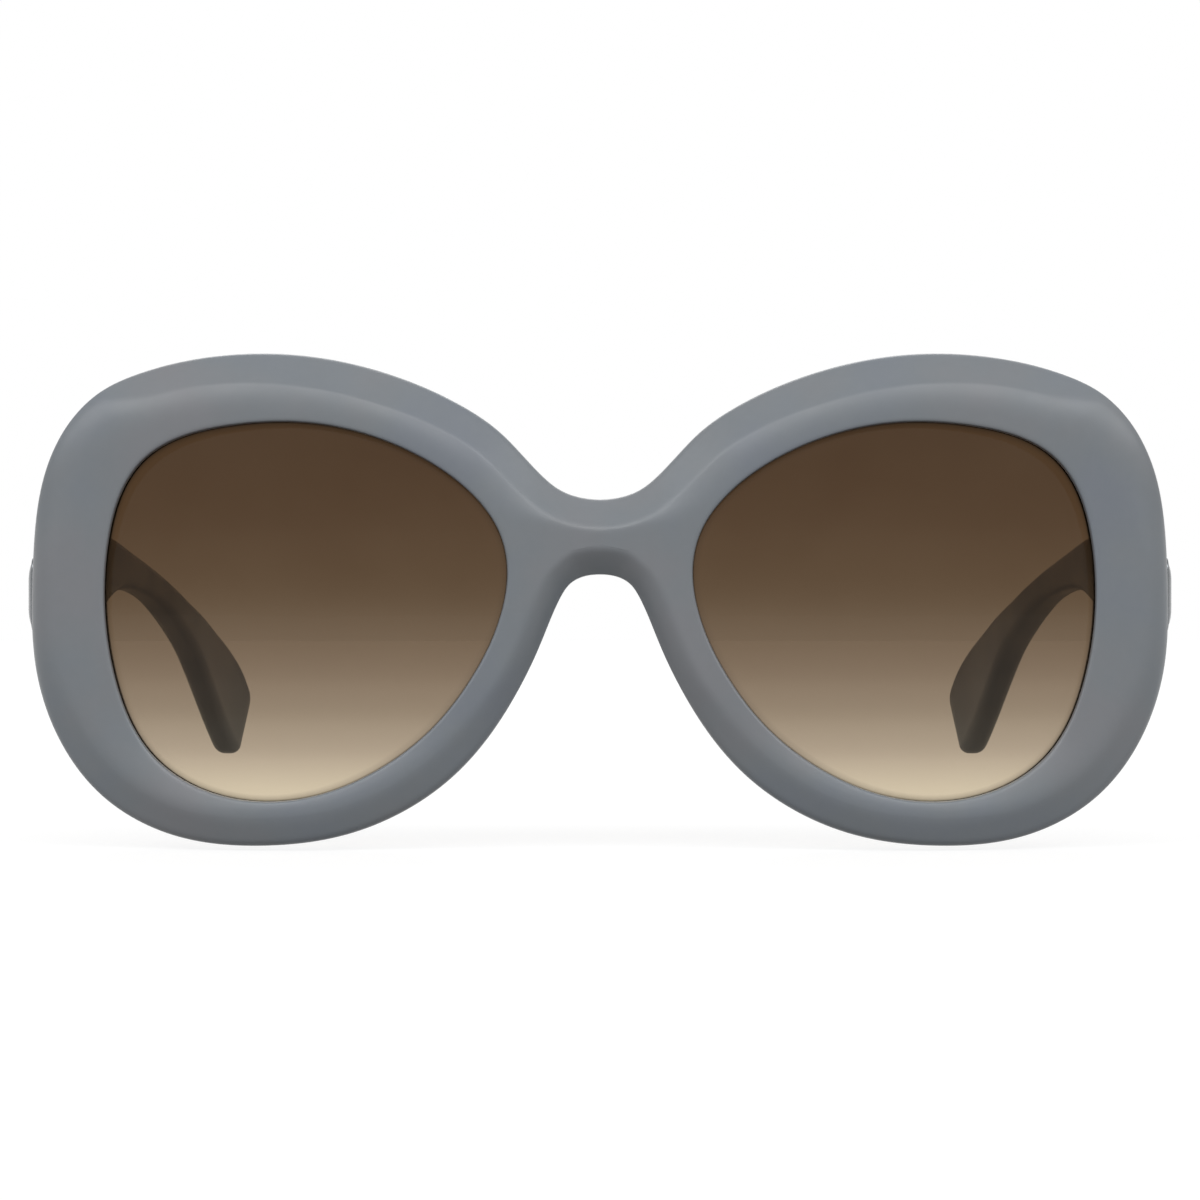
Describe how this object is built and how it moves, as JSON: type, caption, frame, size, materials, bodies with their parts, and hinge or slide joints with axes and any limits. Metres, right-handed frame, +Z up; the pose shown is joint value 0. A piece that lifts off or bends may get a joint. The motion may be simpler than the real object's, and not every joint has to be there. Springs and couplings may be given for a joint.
{
  "type": "sunglasses",
  "caption": "Oversized oval sunglasses with a thick grey acetate front, brown gradient lenses and folding temples.",
  "frame": {"origin": "centre of the assembly's box in plan, on the level of the lowest points of the rims, temples open", "axes": "+Z up as worn, the front faces -Y, the temples run back along +Y, +X is the wearer's left"},
  "size_m": [0.1482, 0.1552, 0.0622],
  "materials": {
    "acetate": "polished grey acetate",
    "lens": "brown gradient tint, lighter at the bottom",
    "hinge_steel": "satin",
    "core_steel": "drawn",
    "plaque_metal": "polished dark grey"
  },
  "bodies": {
    "front": {"frame_front": "acetate", "lens_right": "lens", "lens_left": "lens", "nose_pad_right": "acetate", "nose_pad_left": "acetate", "front_hinge_leaf_right": "hinge_steel", "front_hinge_leaf_left": "hinge_steel", "hinge_screw_right": "hinge_steel", "hinge_screw_left": "hinge_steel"},
    "right_temple": {"temple_right": "acetate", "temple_hinge_leaf_right": "hinge_steel", "front_rivet_right": "hinge_steel", "rear_rivet_right": "hinge_steel", "core_wire_right": "core_steel", "side_plaque_right": "plaque_metal"},
    "left_temple": {"temple_left": "acetate", "temple_hinge_leaf_left": "hinge_steel", "front_rivet_left": "hinge_steel", "rear_rivet_left": "hinge_steel", "core_wire_left": "core_steel", "side_plaque_left": "plaque_metal"}
  },
  "joints": [
    {"name": "right_temple_hinge", "type": "hinge", "parent": "front", "child": "right_temple", "pos_m": [-0.0658, -0.05956, 0.03248], "axis": [0, 0, -1], "range_deg": [0, 87]},
    {"name": "left_temple_hinge", "type": "hinge", "parent": "front", "child": "left_temple", "pos_m": [0.0658, -0.05956, 0.03248], "axis": [0, 0, 1], "range_deg": [0, 79]}
  ]
}
